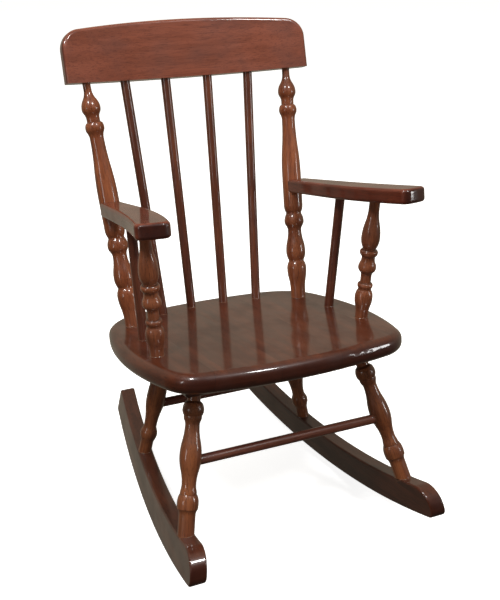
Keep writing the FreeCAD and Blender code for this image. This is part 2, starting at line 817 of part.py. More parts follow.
def arm_blank(side):
    """The outline starts on the sitter's side, where the arm laps past the back post."""
    sign = SIDES[side]
    body = doc.addObject("PartDesign::Body", f"{side}_arm_board")
    sketch = new_sketch(body, f"{side}_arm_outline", "XY_Plane")
    post_axis_x = derive(f"{side}_arm_post_axis", post_x + mm("arm_height") * math.tan(degrees("post_splay")))
    inner = post_axis_x - dim("arm_post_lap")
    rear_y = -dim("arm_rear_gap")
    straight_y = -dim("arm_straight")
    outline = [
        (inner, rear_y),
        (inner, straight_y),
        (inner + dim("arm_swing"), -dim("arm_inner_length")),
        (inner + dim("arm_swing") + dim("arm_front_width"), -dim("arm_outer_length")),
        (inner + dim("arm_middle_width"), straight_y),
        (inner + dim("arm_rear_width"), rear_y),
    ]
    draw_loop(
        sketch,
        [(across * sign, up) for across, up in outline],
        [
            "line",
            "upright first",
            (dim("arm_front_radius"), sign),
            (dim("arm_outer_sweep"), -sign),
            "line",
            "line",
        ],
    )
    pad(body, sketch, dim("arm_thickness"))
    front_y = -mm("arm_outer_length") + 1.0

    def upright(edge):
        return edge.BoundBox.ZLength > mm("arm_thickness") - 1.0

    round_edges(body, dim("arm_front_corner"), lambda edge: upright(edge) and edge.BoundBox.YMax < front_y)
    outer_x = inner.value + mm("arm_rear_width") - 1.0

    def outer_rear(edge):
        return edge.BoundBox.YMin > rear_y.value - 1.0 and abs(edge.CenterOfMass.x) > outer_x

    round_edges(body, dim("arm_rear_corner"), lambda edge: upright(edge) and outer_rear(edge))
    round_edges(
        body,
        dim("arm_edge_radius"),
        lambda edge: edge.BoundBox.ZLength < 1.0 and edge.BoundBox.YMin < rear_y.value - 0.1,
    )
    body.Placement = arm_frame
    return body


# ---------------------------------------------------------------------------
# Rockers: boards sawn to two arcs, leaning in the plane of each side's pair of legs
# ---------------------------------------------------------------------------


def rocker_board(side):
    """The side outline is padded right across, then a leaning slab keeps one board of it."""
    sign = SIDES[side]
    body = doc.addObject("PartDesign::Body", f"{side}_rocker_arc")
    sketch = new_sketch(body, f"{side}_rocker_outline", "YZ_Plane")
    radius = dim("rocker_radius")
    top = radius - dim("rocker_depth")
    ends = []
    for reach in (-dim("rocker_front_reach"), dim("rocker_back_reach")):
        top_reach = reach * (top / radius)
        low = radius - root(radius * radius - reach * reach)
        high = radius - root(top * top - top_reach * top_reach)
        ends.append(((reach, low), (top_reach, high)))
    (toe, toe_top), (heel, heel_top) = ends
    draw_loop(sketch, [toe, heel, heel_top, toe_top], [(radius, 1), "line", (top, -1), "line"])
    pad(body, sketch, dim("seat_width") * 2, both_ways=True)
    roundings = [
        ("rocker_toe_radius", toe_top),
        ("rocker_heel_radius", heel_top),
        ("rocker_tip_radius", toe),
        ("rocker_rear_tip_radius", heel),
    ]
    for alias, (along_y, up_z) in roundings:
        corner = Vector(0, along_y.value, up_z.value)
        round_edges(body, dim(alias), lambda edge: edge.CenterOfMass.distanceToPoint(corner) < 1.0)
    body.Placement = Placement(Vector(0, mm("rest_y"), 0), Rotation())
    front = front_legs[side].foot
    along = (rear_legs[side].foot - front).normalize()
    lean = Vector(-sign * math.tan(degrees("rocker_lean")), 0, 1)
    across = lean.cross(along).normalize()
    upward = along.cross(across).normalize()
    length = (dim("rocker_front_reach") + dim("rocker_back_reach")) * 2
    height = dim("rocker_radius") / 2
    slab = doc.addObject("Part::Box", f"{side}_rocker_slab")
    slab.setExpression("Length", length.text)
    slab.setExpression("Width", dim("rocker_thickness").text)
    slab.setExpression("Height", height.text)
    corner = front - along * (length.value / 2) - across * (mm("rocker_thickness") / 2)
    slab.Placement = Placement(corner - upward * (height.value / 2), Rotation(along, across, upward, "XZY"))
    board = doc.addObject("Part::Common", f"{side}_rocker_board")
    board.Base = body
    board.Tool = slab
    doc.recompute()
    eased = doc.addObject("Part::Fillet", f"{side}_rocker_eased")
    eased.Base = board
    ease = mm("rocker_edge_radius")
    eased.Edges = [
        (place, ease, ease)
        for place, edge in enumerate(board.Shape.Edges, start=1)
        if edge.BoundBox.YLength > mm("rocker_front_reach")
    ]
    return eased


# ---------------------------------------------------------------------------
# The sockets that each piece needs for the sticks and screws that enter it
# ---------------------------------------------------------------------------


def stepped_socket(name, stick, foot_diameter):
    """The hole for a post's foot: the let-in shoulder, then the tenon."""
    sink = dim("shoulder_sink")
    return [
        drill(name + "_shoulder_hole", stick.foot, -stick.way, foot_diameter, sink),
        drill(name + "_tenon_hole", stick.foot, -stick.way, dim("tenon_diameter"), sink + dim("tenon_depth")),
    ]


def screw(name, start, way, length):
    """A countersunk wood screw whose flat head is flush at start."""
    shank = dim("screw_diameter")
    countersink = (dim("screw_head_diameter") - shank) / 2
    stations = [
        (NOTHING, dim("screw_head_diameter"), "line"),
        (countersink, shank, "line"),
        (length - shank, shank, "line"),
        (length, shank / 4, "line"),
    ]
    return turn_on_lathe(name, Stick(start, start + way * length.value), stations)


def screw_hole(name, start, way, length):
    """The shank's hole and the countersink above it."""
    gap = dim("glue_gap")
    head = dim("screw_head_diameter") / 2 + gap
    shank = dim("screw_diameter") / 2 + gap
    sink = doc.addObject("Part::Cone", name + "_countersink")
    sink.setExpression("Radius1", head.text)
    sink.setExpression("Radius2", shank.text)
    sink.setExpression("Height", (head - shank).text)
    sink.Placement = Placement(start, Rotation(Vector(0, 0, 1), way))
    bore = drill(name + "_bore", start, way, dim("screw_diameter"), length)
    return [bore, sink]


seat_holes = []
crest_holes = []
arm_holes = {side: [] for side in SIDES}
post_holes = {side: [] for side in SIDES}
rocker_holes = {side: [] for side in SIDES}
front_leg_holes = {side: [] for side in SIDES}
rear_leg_holes = {side: [] for side in SIDES}
front_cleat_holes = []
rear_cleat_holes = []
cleat_screws = []
rocker_screws = []
arm_dowels = []

stick_depth = dim("stick_depth")
for place, stick in enumerate(spindles, start=1):
    size = dim("spindle_diameter")
    seat_holes.append(drill(f"spindle_{place}_foot_hole", stick.foot, -stick.way, size, stick_depth))
    crest_holes.append(drill(f"spindle_{place}_head_hole", stick.head, stick.way, size, stick_depth))

arm_depth = dim("arm_socket_depth")
post_arm_radius = dim("post_arm_diameter") / 2
for side in SIDES:
    back = back_posts[side]
    seat_holes += stepped_socket(f"{side}_back_post", back, dim("post_foot_diameter"))
    neck = dim("post_neck_diameter")
    crest_holes.append(drill(f"{side}_post_head_hole", back.head, back.way, neck, stick_depth))
    under = arm_posts[side]
    seat_holes += stepped_socket(f"{side}_arm_post", under, dim("arm_post_foot_diameter"))
    neck = dim("arm_post_neck_diameter")
    arm_holes[side].append(drill(f"{side}_arm_post_head_hole", under.head, under.way, neck, arm_depth))
    thin = arm_rods[side]
    size = dim("arm_rod_diameter")
    seat_holes.append(drill(f"{side}_arm_rod_foot_hole", thin.foot, -thin.way, size, stick_depth))
    arm_holes[side].append(drill(f"{side}_arm_rod_head_hole", thin.head, thin.way, size, arm_depth))

    cope = doc.addObject("Part::Cylinder", f"{side}_arm_cope")
    cope.setExpression("Radius", (post_arm_radius + dim("glue_gap")).text)
    cope.setExpression("Height", dim("crest_height").text)
    cope.Placement = back.placement()
    arm_holes[side].append(cope)
    arm_middle = mm("arm_height") + mm("arm_thickness") / 2
    joint = back.at(arm_middle / chair.inverse().Rotation.multVec(back.way).z)
    forward = arm_frame.Rotation.multVec(Vector(0, -1, 0))
    dowel_start = joint - forward * mm("dowel_past_axis")
    dowel = doc.addObject("Part::Cylinder", f"{side}_arm_dowel")
    dowel.setExpression("Radius", (dim("dowel_diameter") / 2).text)
    dowel.setExpression("Height", dim("dowel_length").text)
    dowel.Placement = Placement(dowel_start, Rotation(Vector(0, 0, 1), forward))
    arm_dowels.append(dowel)
    dowel_hole = doc.addObject("Part::Cylinder", f"{side}_dowel_hole")
    dowel_hole.setExpression("Radius", (dim("dowel_diameter") / 2 + dim("glue_gap")).text)
    dowel_hole.setExpression("Height", (dim("dowel_length") + dim("glue_gap") * 2).text)
    hole_start = dowel_start - forward * mm("glue_gap")
    dowel_hole.Placement = Placement(hole_start, Rotation(Vector(0, 0, 1), forward))
    arm_holes[side].append(dowel_hole)
    post_holes[side].append(dowel_hole)

cleats = {
    "front": (front_legs, front_leg_holes, front_cleat_holes, front_leg_y),
    "rear": (rear_legs, rear_leg_holes, rear_cleat_holes, rear_leg_y),
}
stretchers = {
    "front": (front_stretcher, "leg_vase_diameter"),
    "rear": (rear_stretcher, "rear_leg_vase_diameter"),
}
for row, (legs, leg_holes, cleat_holes, cleat_y) in cleats.items():
    up = chair.Rotation.multVec(Vector(0, 0, 1))
    for side, sign in SIDES.items():
        for inset in ("cleat_screw_inner", "cleat_screw_outer"):
            start = chair.multVec(Vector(sign * mm(inset), cleat_y, cleat_bottom_z))
            name = f"{row}_{side}_{inset}"
            holes = screw_hole(name, start, up, dim("cleat_screw_length"))
            cleat_screws.append(screw(name, start, up, dim("cleat_screw_length")))
            cleat_holes += holes
            seat_holes.append(holes[0])
        stick = legs[side]
        name = f"{side}_{row}_leg"
        size = dim("leg_head_diameter")
        cleat_holes.append(drill(name + "_head_hole", stick.head, stick.way, size, stick_depth))
        size = dim("tenon_diameter")
        mortise = drill(name + "_foot_hole", stick.foot, -stick.way, size, dim("tenon_depth"))
        rocker_holes[side].append(mortise)
        sole = stick.foot - stick.way * reach_to_arc(stick.foot, -stick.way, mm("rocker_radius"))
        start = sole + stick.way * mm("rocker_screw_recess")
        name = f"{side}_{row}_rocker_screw"
        size = dim("screw_head_diameter")
        recess = drill(name + "_recess", sole, stick.way, size, dim("rocker_screw_recess"))
        holes = screw_hole(name, start, stick.way, dim("rocker_screw_length"))
        rocker_screws.append(screw(name, start, stick.way, dim("rocker_screw_length")))
        rocker_holes[side] += [recess] + holes
        leg_holes[side].append(holes[0])
        rail, vase = stretchers[row]
        way = -rail.way * sign
        centre = rail.head if sign > 0 else rail.foot
        surface = centre + way * (mm(vase) / 2)
        size = dim("stretcher_diameter")
        bore = drill(name + "_stretcher_hole", surface, -way, size, dim("stretcher_depth"))
        leg_holes[side].append(bore)

# ---------------------------------------------------------------------------
# The chair, piece by piece
# ---------------------------------------------------------------------------

kept(bored(seat_blank(), seat_holes, "seat"), "seat")
kept(bored(cleat_blank("front_cleat", front_leg_y), front_cleat_holes, "front_cleat"), "front_cleat")
kept(bored(cleat_blank("rear_cleat", rear_leg_y), rear_cleat_holes, "rear_cleat"), "rear_cleat")
kept(bored(crest_blank(), crest_holes, "crest"), "crest_rail")
for place, stick in enumerate(spindles, start=1):
    spindle = rod(f"spindle_{place}", stick, dim("spindle_diameter"), stick_depth, stick_depth)
    kept(spindle, f"back_spindle_{place}")
for side in SIDES:
    kept(bored(back_post(side), post_holes[side], f"{side}_back_post"), f"{side}_back_post")
    kept(bored(arm_blank(side), arm_holes[side], f"{side}_arm"), f"{side}_arm")
    kept(arm_post(side), f"{side}_arm_post")
    kept(arm_rod(side), f"{side}_arm_rod")
    front = coped_leg(front_leg(side), front_legs[side], f"{side}_front_leg")
    kept(bored(front, front_leg_holes[side], f"{side}_front_leg"), f"{side}_front_leg")
    rear = coped_leg(rear_leg(side), rear_legs[side], f"{side}_rear_leg")
    kept(bored(rear, rear_leg_holes[side], f"{side}_rear_leg"), f"{side}_rear_leg")
    kept(bored(rocker_board(side), rocker_holes[side], f"{side}_rocker"), f"{side}_rocker")
for row, (rail, vase) in stretchers.items():
    ends = dim("stretcher_depth") - dim(vase) / 2
    kept(rod(f"{row}_stretcher", rail, dim("stretcher_diameter"), ends, ends), f"{row}_stretcher")
fastenings = {
    "cleat_screws": cleat_screws,
    "rocker_screws": rocker_screws,
    "arm_dowels": arm_dowels,
}
for group, members in fastenings.items():
    compound = doc.addObject("Part::Compound", group)
    compound.Links = members
    kept(compound, group)

# ---------------------------------------------------------------------------
# Checks, then one STEP file for each sub-part
# ---------------------------------------------------------------------------

doc.recompute()
for feature in doc.Objects:
    faults = [word for word in ("Invalid", "Error") if word in feature.State]
    if faults:
        raise RuntimeError(f"{feature.Label} is {faults[0]}")
for feature in sub_parts:
    if feature.Shape.isNull() or not feature.Shape.isValid():
        raise RuntimeError(f"{feature.Label} has no sound shape")
os.makedirs("parts", exist_ok=True)
for feature in sub_parts:
    feature.Shape.exportStep(f"parts/{feature.Label}.step")
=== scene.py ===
import bmesh
import bpy
import math
import numpy as np
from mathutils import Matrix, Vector
from mathutils.bvhtree import BVHTree


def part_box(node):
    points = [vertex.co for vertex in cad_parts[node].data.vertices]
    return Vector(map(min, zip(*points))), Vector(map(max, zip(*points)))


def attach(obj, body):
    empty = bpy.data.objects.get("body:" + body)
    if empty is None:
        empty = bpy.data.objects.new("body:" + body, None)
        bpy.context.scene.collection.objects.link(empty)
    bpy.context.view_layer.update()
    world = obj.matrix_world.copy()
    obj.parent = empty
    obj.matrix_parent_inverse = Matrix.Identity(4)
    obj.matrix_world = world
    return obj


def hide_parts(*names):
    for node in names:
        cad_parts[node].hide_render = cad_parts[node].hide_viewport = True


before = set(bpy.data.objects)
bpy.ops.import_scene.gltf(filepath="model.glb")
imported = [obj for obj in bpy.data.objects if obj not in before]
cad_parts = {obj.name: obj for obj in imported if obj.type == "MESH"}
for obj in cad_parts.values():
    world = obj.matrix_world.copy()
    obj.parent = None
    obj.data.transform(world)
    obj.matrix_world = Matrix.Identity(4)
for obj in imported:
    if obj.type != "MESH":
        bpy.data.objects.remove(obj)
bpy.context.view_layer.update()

# ---------------------------------------------------------------------------
# Studio: a matt white floor, a broad weak light overhead, two small square
# lights high in front that put a pair of highlights on every turned bead, and
# two upright strips that draw a long streak down each stick.
# ---------------------------------------------------------------------------

camera_data = bpy.data.cameras.new("studio_camera")
camera_data.lens = 59.1
camera_data.sensor_width = 36.0
camera = bpy.data.objects.new("studio_camera", camera_data)
bpy.context.scene.collection.objects.link(camera)
camera.location = (-0.57607, -1.27537, 0.92503)
camera.rotation_euler = [math.radians(angle) for angle in (66.8435, -0.3657, -24.4109)]
bpy.context.scene.camera = camera
bpy.context.scene.view_settings.view_transform = "Standard"


def srgb(code):
    """A hex colour such as 7C4A39, turned to the linear values that shaders use."""
    channels = [int(code[place:place + 2], 16) / 255 for place in (0, 2, 4)]
    linear = [c / 12.92 if c <= 0.04045 else ((c + 0.055) / 1.055) ** 2.4 for c in channels]
    return (*linear, 1.0)


def add(tree, kind, settings=None, **sockets):
    """Add one node. Settings are its properties. A socket takes a value, another node or that
    node's socket. Sockets go by their names in lower case, or by place as in0, in1 and so on."""
    node = tree.nodes.new(kind)
    for name, value in (settings or {}).items():
        setattr(node, name, value)
    for name, value in sockets.items():
        if name[:2] == "in" and name[2:].isdigit():
            socket = node.inputs[int(name[2:])]
        else:
            wanted = name.replace("_", " ")
            socket = next(s for s in node.inputs if s.name.lower() == wanted and s.enabled)
        if isinstance(value, bpy.types.Node):
            value = next(s for s in value.outputs if s.enabled)
        if isinstance(value, bpy.types.NodeSocket):
            tree.links.new(value, socket)
        else:
            socket.default_value = value
    return node


def new_material(name):
    """An empty material and its node tree."""
    material = bpy.data.materials.new(name)
    material.use_nodes = True
    material.node_tree.nodes.clear()
    return material, material.node_tree


# Floor: matt white seamless paper, lit from within enough to stay near white far away.
FLOOR_HALF = 7.0
paper, tree = new_material("matt_white_paper")
sheen = add(
    tree, "ShaderNodeBsdfPrincipled", base_color=srgb("F2F1EE"), roughness=0.9, specular_ior_level=0.1,
    emission_color=srgb("FFFFFF"), emission_strength=0.86,
)
add(tree, "ShaderNodeOutputMaterial", surface=sheen)
floor_mesh = bpy.data.meshes.new("studio_floor")
floor_corners = [(x * FLOOR_HALF, y * FLOOR_HALF, 0) for x, y in ((-1, -1), (1, -1), (1, 1), (-1, 1))]
floor_mesh.from_pydata(floor_corners, [], [(0, 1, 2, 3)])
floor_mesh.materials.append(paper)
floor = bpy.data.objects.new("studio_floor", floor_mesh)
bpy.context.scene.collection.objects.link(floor)
floor.visible_glossy = False
floor.visible_diffuse = False

# Air: what the lacquer mirrors is pale behind and above the chair and dark in front of it.
# Seen directly, it is the same near white all round.
world = bpy.data.worlds.new("studio_air")
bpy.context.scene.world = world
world.use_nodes = True
air = world.node_tree
air.nodes.clear()
direction = add(air, "ShaderNodeTexCoord").outputs["Generated"]
BRIGHT_WAY = (0.38, 0.84, 0.39)
behind = add(air, "ShaderNodeVectorMath", {"operation": "DOT_PRODUCT"}, in0=direction, in1=BRIGHT_WAY)
brightness = add(
    air, "ShaderNodeMapRange", {"interpolation_type": "SMOOTHSTEP"}, value=behind.outputs["Value"],
    from_min=-0.25, from_max=0.75, to_min=0.04, to_max=0.26,
)
mirrored = add(air, "ShaderNodeBackground", color=srgb("FFF3DA"), strength=brightness)
seen = add(air, "ShaderNodeBackground", color=srgb("FFFFFF"), strength=1.0)
rays = add(air, "ShaderNodeLightPath").outputs["Is Camera Ray"]
told_apart = add(air, "ShaderNodeMixShader", in0=rays, in1=mirrored, in2=seen)
add(air, "ShaderNodeOutputWorld", surface=told_apart)

LIGHT_AIM = Vector((0, 0, 0.35))
UNMIRRORED_LIGHTS = ("camera_side_fill", "overhead_light")
LIGHTS = {
    # name: place in metres, width and height, watts
    "overhead_light": ((-0.6, 0.5, 3.2), (3.0, 3.0), 66.0),
    "high_left_light": ((-1.66, -0.78, 2.97), (0.40, 0.45), 34.0),
    "high_right_light": ((0.63, -1.72, 2.97), (0.40, 0.45), 34.0),
    "left_strip": ((-2.75, -0.95, 0.95), (0.22, 0.90), 4.5),
    "right_strip": ((2.50, -1.85, 0.96), (0.24, 0.90), 11.0),
    "camera_side_fill": ((-1.9, -3.4, 0.9), (2.4, 1.4), 18.0),
}
for name, (place, size, watts) in LIGHTS.items():
    lamp = bpy.data.lights.new(name, "AREA")
    lamp.shape = "RECTANGLE"
    lamp.size, lamp.size_y = size
    lamp.energy = watts
    light = bpy.data.objects.new(name, lamp)
    bpy.context.scene.collection.objects.link(light)
    light.location = place
    light.rotation_euler = (LIGHT_AIM - Vector(place)).to_track_quat("-Z", "Y").to_euler()
    light.visible_glossy = name not in UNMIRRORED_LIGHTS

# ---------------------------------------------------------------------------
# Seat: a 30 mm plank glued up from staves that run front to back, its rim
# rounded over, stained cherry and sprayed with gloss lacquer. Every stick of
# the chair is glued into it.
# ---------------------------------------------------------------------------

SEAT_STAVE = 0.0925
# front to back in the seat's top face, which leans back 9.7 degrees
SEAT_GRAIN = Vector((0, 0.9857, -0.1685))
LOG_STEP = Vector((1.0, 0.7, 1.3)) * 0.37


def grain_of(node):
    """The long direction of a piece, and its middle, from its own corners."""
    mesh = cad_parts[node].data
    places = np.empty(len(mesh.vertices) * 3)
    mesh.vertices.foreach_get("co", places)
    places = places.reshape(-1, 3)
    middle = places.mean(axis=0)
    way = np.linalg.svd(places - middle, full_matrices=False)[2][0]
    return Vector(way), Vector(middle)


def lacquered_cherry(node, tones, grain=None, stave=0.0, turned=False, coat=1.0):
    """Cherry-stained hardwood under sprayed gloss lacquer, with the grain along the piece. The
    stain lies darker in the pores and on end grain. Creases and hollows are darkened by ambient
    occlusion as painted shade, which also stands for stain pooled where the lacquer fills them.
    Tones are hex colours: light wood, mid wood, dark streak, end grain."""
    light, mid, dark, end = [srgb(tone) for tone in tones]
    way, middle = grain_of(node)
    way = grain or way
    straighten = way.rotation_difference(Vector((1, 0, 0))).to_matrix()
    finish, tree = new_material(f"gloss_cherry_{node}")
    coordinates = add(tree, "ShaderNodeTexCoord").outputs["Object"]
    # each piece is cut from its own part of the log
    log_place = LOG_STEP * (1 + list(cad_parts).index(node))
    log = add(
        tree, "ShaderNodeMapping", vector=coordinates, rotation=straighten.to_euler("XYZ"),
        location=log_place - straighten @ middle,
    )
    along = log
    if stave:
        across = add(tree, "ShaderNodeSeparateXYZ", vector=log).outputs["Y"]
        count = add(tree, "ShaderNodeMath", {"operation": "DIVIDE"}, in0=across, in1=stave)
        number = add(tree, "ShaderNodeMath", {"operation": "FLOOR"}, in0=count)
        share = add(tree, "ShaderNodeMath", {"operation": "FRACT"}, in0=count)
        own = add(tree, "ShaderNodeTexWhiteNoise", {"noise_dimensions": "1D"}, w=number)
        shift = add(
            tree, "ShaderNodeVectorMath", {"operation": "SCALE"}, in0=own.outputs["Color"], scale=3.0
        )
        along = add(tree, "ShaderNodeVectorMath", {"operation": "ADD"}, in0=log, in1=shift)

    # real sizes in millimetres: length along the grain, width across it; then detail, roughness
    sizes = {
        "figure": (180, 14, 3.0, 0.5),
        "fibres": (45, 1.6, 4.0, 0.65),
        "pores": (9, 0.55, 2.0, 0.5),
        "stain": (70, 45, 2.0, 0.5),
    }
    pattern = {}
    for name, (length, width, detail, rough) in sizes.items():
        scale = (1000 / length, 1000 / width, 1000 / width)
        drawn_out = add(tree, "ShaderNodeVectorMath", {"operation": "MULTIPLY"}, in0=along, in1=scale)
        pattern[name] = add(
            tree, "ShaderNodeTexNoise", vector=drawn_out, scale=1.0, detail=detail, roughness=rough
        ).outputs["Fac"]

    normal = add(tree, "ShaderNodeNewGeometry").outputs["Normal"]
    faces_end = add(
        tree, "ShaderNodeVectorMath", {"operation": "DOT_PRODUCT"}, in0=normal, in1=tuple(way)
    )
    faces_end = add(tree, "ShaderNodeMath", {"operation": "ABSOLUTE"}, in0=faces_end.outputs["Value"])
    # ambient occlusion, used below to paint shade into creases and hollows
    painted_crease_shade_ao = add(
        tree, "ShaderNodeAmbientOcclusion", {"samples": 6, "only_local": True}, distance=0.007
    ).outputs["AO"]
    # each layer: how it mixes, what drives it, from, to, weight at from, weight at to, its colour
    layers = [
        ("MIX", pattern["figure"], 0.34, 0.66, 0.0, 1.0, light),
        ("MIX", pattern["fibres"], 0.46, 0.72, 0.0, 0.7, dark),
        ("MIX", pattern["stain"], 0.42, 0.75, 0.0, 0.45, dark),
        ("MULTIPLY", pattern["pores"], 0.60, 0.72, 0.0, 0.6, dark),
        ("MIX", faces_end, 0.45, 0.95, 0.0, 0.8, end),
        # painted shade: where ambient occlusion finds a crease or hollow, the colour is darkened toward
        # 40241A
        ("MULTIPLY", painted_crease_shade_ao, 0.40, 0.90, 0.9, 0.0, srgb("40241A")),
    ]
    if stave:
        layers.append(("MULTIPLY", own.outputs["Value"], 0.0, 1.0, 0.0, 0.45, srgb("BFA596")))
        layers.append(("MULTIPLY", share, 0.0, 0.012, 0.55, 0.0, srgb("5A3A2C")))
    colour = None
    for kind, driver, low, high, at_low, at_high, tone in layers:
        weight = add(
            tree, "ShaderNodeMapRange", {"interpolation_type": "SMOOTHSTEP"}, value=driver,
            from_min=low, from_max=high, to_min=at_low, to_max=at_high,
        )
        blend = add(
            tree, "ShaderNodeMix", {"data_type": "RGBA", "blend_type": kind},
            in0=weight, in6=colour or mid, in7=tone,
        )
        colour = blend.outputs[2]

    relief = add(tree, "ShaderNodeMath", {"operation": "MULTIPLY"}, in0=pattern["fibres"], in1=0.5)
    if turned:
        # rings that the turner's gouge leaves, about 1.5 mm apart
        length_along = add(tree, "ShaderNodeSeparateXYZ", vector=log).outputs["X"]
        rings = add(
            tree, "ShaderNodeTexNoise", {"noise_dimensions": "1D"}, w=length_along, scale=650.0, detail=1.0
        )
        relief = add(tree, "ShaderNodeMath", {"operation": "ADD"}, in0=relief, in1=rings.outputs["Fac"])
    # the lacquer's orange peel, about 3 mm across
    peel = add(tree, "ShaderNodeTexNoise", vector=coordinates, scale=320.0, detail=1.0)
    relief = add(tree, "ShaderNodeMath", {"operation": "ADD"}, in0=relief, in1=peel.outputs["Fac"])
    bump = add(tree, "ShaderNodeBump", height=relief, strength=0.028, distance=0.0008)
    gloss = add(
        tree, "ShaderNodeMapRange", {"interpolation_type": "SMOOTHSTEP"}, value=pattern["stain"],
        from_min=0.35, from_max=0.7, to_min=0.32, to_max=0.48,
    )
    wood = add(
        tree, "ShaderNodeBsdfPrincipled", base_color=colour, roughness=gloss, ior=1.48, normal=bump,
        coat_weight=coat, coat_roughness=0.08, coat_ior=1.5, coat_normal=bump,
    )
    add(tree, "ShaderNodeOutputMaterial", surface=wood)
    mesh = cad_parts[node].data
    if not mesh.materials:
        mesh.materials.append(finish)
    for place in range(len(mesh.materials)):
        mesh.materials[place] = finish


lacquered_cherry("seat", ("69351F", "572A19", "391910", "3E1A11"), grain=SEAT_GRAIN, stave=SEAT_STAVE)

# ---------------------------------------------------------------------------
# Cleats: two battens of the same wood, screwed across the underside of the
# seat. They take the heads of the legs.
# ---------------------------------------------------------------------------

for cleat in ("front_cleat", "rear_cleat"):
    lacquered_cherry(cleat, ("4A261A", "3A1C13", "20100B", "26110B"))

# ---------------------------------------------------------------------------
# Back posts: turned between centres from square stock, with beads, coves and a
# long taper, tenoned into the seat and glued into the crest rail. Turned wood
# takes the stain lighter and more orange than the boards.
# ---------------------------------------------------------------------------

for side in ("left", "right"):
    lacquered_cherry(f"{side}_back_post", ("A05D3A", "844629", "4A2112", "4A2212"), turned=True)

# ---------------------------------------------------------------------------
# Back spindles: four plain 15 mm dowel rods, glued into sockets in the seat
# and in the crest rail.
# ---------------------------------------------------------------------------

for place in range(1, 5):
    lacquered_cherry(f"back_spindle_{place}", ("76412B", "5E3020", "361910", "34180F"))

# ---------------------------------------------------------------------------
# Crest rail: a board bent backward in a long bow, its top sawn to an arch and
# all its edges rounded over. The grain runs from side to side.
# ---------------------------------------------------------------------------

lacquered_cherry("crest_rail", ("93503A", "82442F", "5A2C1F", "571F12"), grain=Vector((1, 0, 0)))

# ---------------------------------------------------------------------------
# Arms: flat boards that widen toward the front, coped to the back posts and
# held there by hidden unstained beech dowels. The sawn fronts drink in stain.
# ---------------------------------------------------------------------------

for side in ("left", "right"):
    lacquered_cherry(f"{side}_arm", ("7E3A24", "682B19", "3A160E", "240B08"))
lacquered_cherry("arm_dowels", ("D9B98C", "CDAA7B", "B58F60", "B08A5C"), coat=0.0)

# ---------------------------------------------------------------------------
# Under the arms: a short turned post and a plain rod on each side, glued into
# the seat and into the arm.
# ---------------------------------------------------------------------------

for side in ("left", "right"):
    lacquered_cherry(f"{side}_arm_post", ("98593A", "7E4529", "472215", "432012"), turned=True)
    lacquered_cherry(f"{side}_arm_rod", ("7A4530", "633323", "381A12", "381A12"))

# ---------------------------------------------------------------------------
# Legs: turned like the posts, splayed out, tenoned up into the cleats and
# coped down onto the rockers.
# ---------------------------------------------------------------------------

for leg in ("left_front_leg", "right_front_leg", "left_rear_leg", "right_rear_leg"):
    lacquered_cherry(leg, ("925634", "784126", "422013", "402012"), turned=True)

# ---------------------------------------------------------------------------
# Stretchers: two plain rods glued between the legs of each pair.
# ---------------------------------------------------------------------------

for stretcher in ("front_stretcher", "rear_stretcher"):
    lacquered_cherry(stretcher, ("774433", "613226", "371B15", "381A12"))

# ---------------------------------------------------------------------------
# Rockers: boards sawn to two arcs, leaning outward, their long edges eased.
# Their stain is the darkest of the chair, and their tones are set darker still as painted shade for their
# inner faces, which lie in the chair's shadow.
# ---------------------------------------------------------------------------

# these tones hold painted shade for the shadowed inner faces as well as the wood's own dark stain
for side in ("left", "right"):
    lacquered_cherry(f"{side}_rocker", ("5C3020", "482317", "26120C", "36140C"))

# ---------------------------------------------------------------------------
# Joint lines: where each stick enters a board, the sprayed lacquer bridges the
# crease and dries there as a thin pale line that follows the board's surface.
# ---------------------------------------------------------------------------

# the real line is about 0.3 mm wide, too fine to show, so it is drawn three times as wide
LINE_RADIUS = 0.00045
LINE_SIDES = 8
LINE_STEPS = 32
LINE_STAND_OFF = 0.7
LINE_SLACK = 2.5
RIM_DEPTH = 0.0002


def turning_axis(stick):
    """The direction and middle of a stick's axis, from the rims of its two round ends."""
    way, middle = grain_of(stick)
    places = np.array([corner.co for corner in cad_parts[stick].data.vertices])
    places = np.unique(places.round(6), axis=0)
    heights = (places - np.array(middle)) @ np.array(way)
    low = Vector(places[heights < heights.min() + RIM_DEPTH].mean(axis=0))
    high = Vector(places[heights > heights.max() - RIM_DEPTH].mean(axis=0))
    return (high - low).normalized(), (low + high) / 2


def crease(stick, board, radius):
    """The line, in LINE_STEPS points, in which a stick's round side meets a board."""
    way, middle = turning_axis(stick)
    board_low, board_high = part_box(board)
    if way.dot((Vector(board_low) + Vector(board_high)) / 2 - middle) < 0:
        way = -way
    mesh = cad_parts[board].data
    surface = BVHTree.FromPolygons([v.co for v in mesh.vertices], [p.vertices for p in mesh.polygons])
    across = way.orthogonal().normalized()
    over = way.cross(across)
    outline = []
    for step in range(LINE_STEPS):
        turn = 2 * math.pi * step / LINE_STEPS
        outward = across * math.cos(turn) + over * math.sin(turn)
        start = middle + outward * (radius + LINE_RADIUS * LINE_STAND_OFF)
        outline.append(surface.ray_cast(start, way)[0])
    return outline


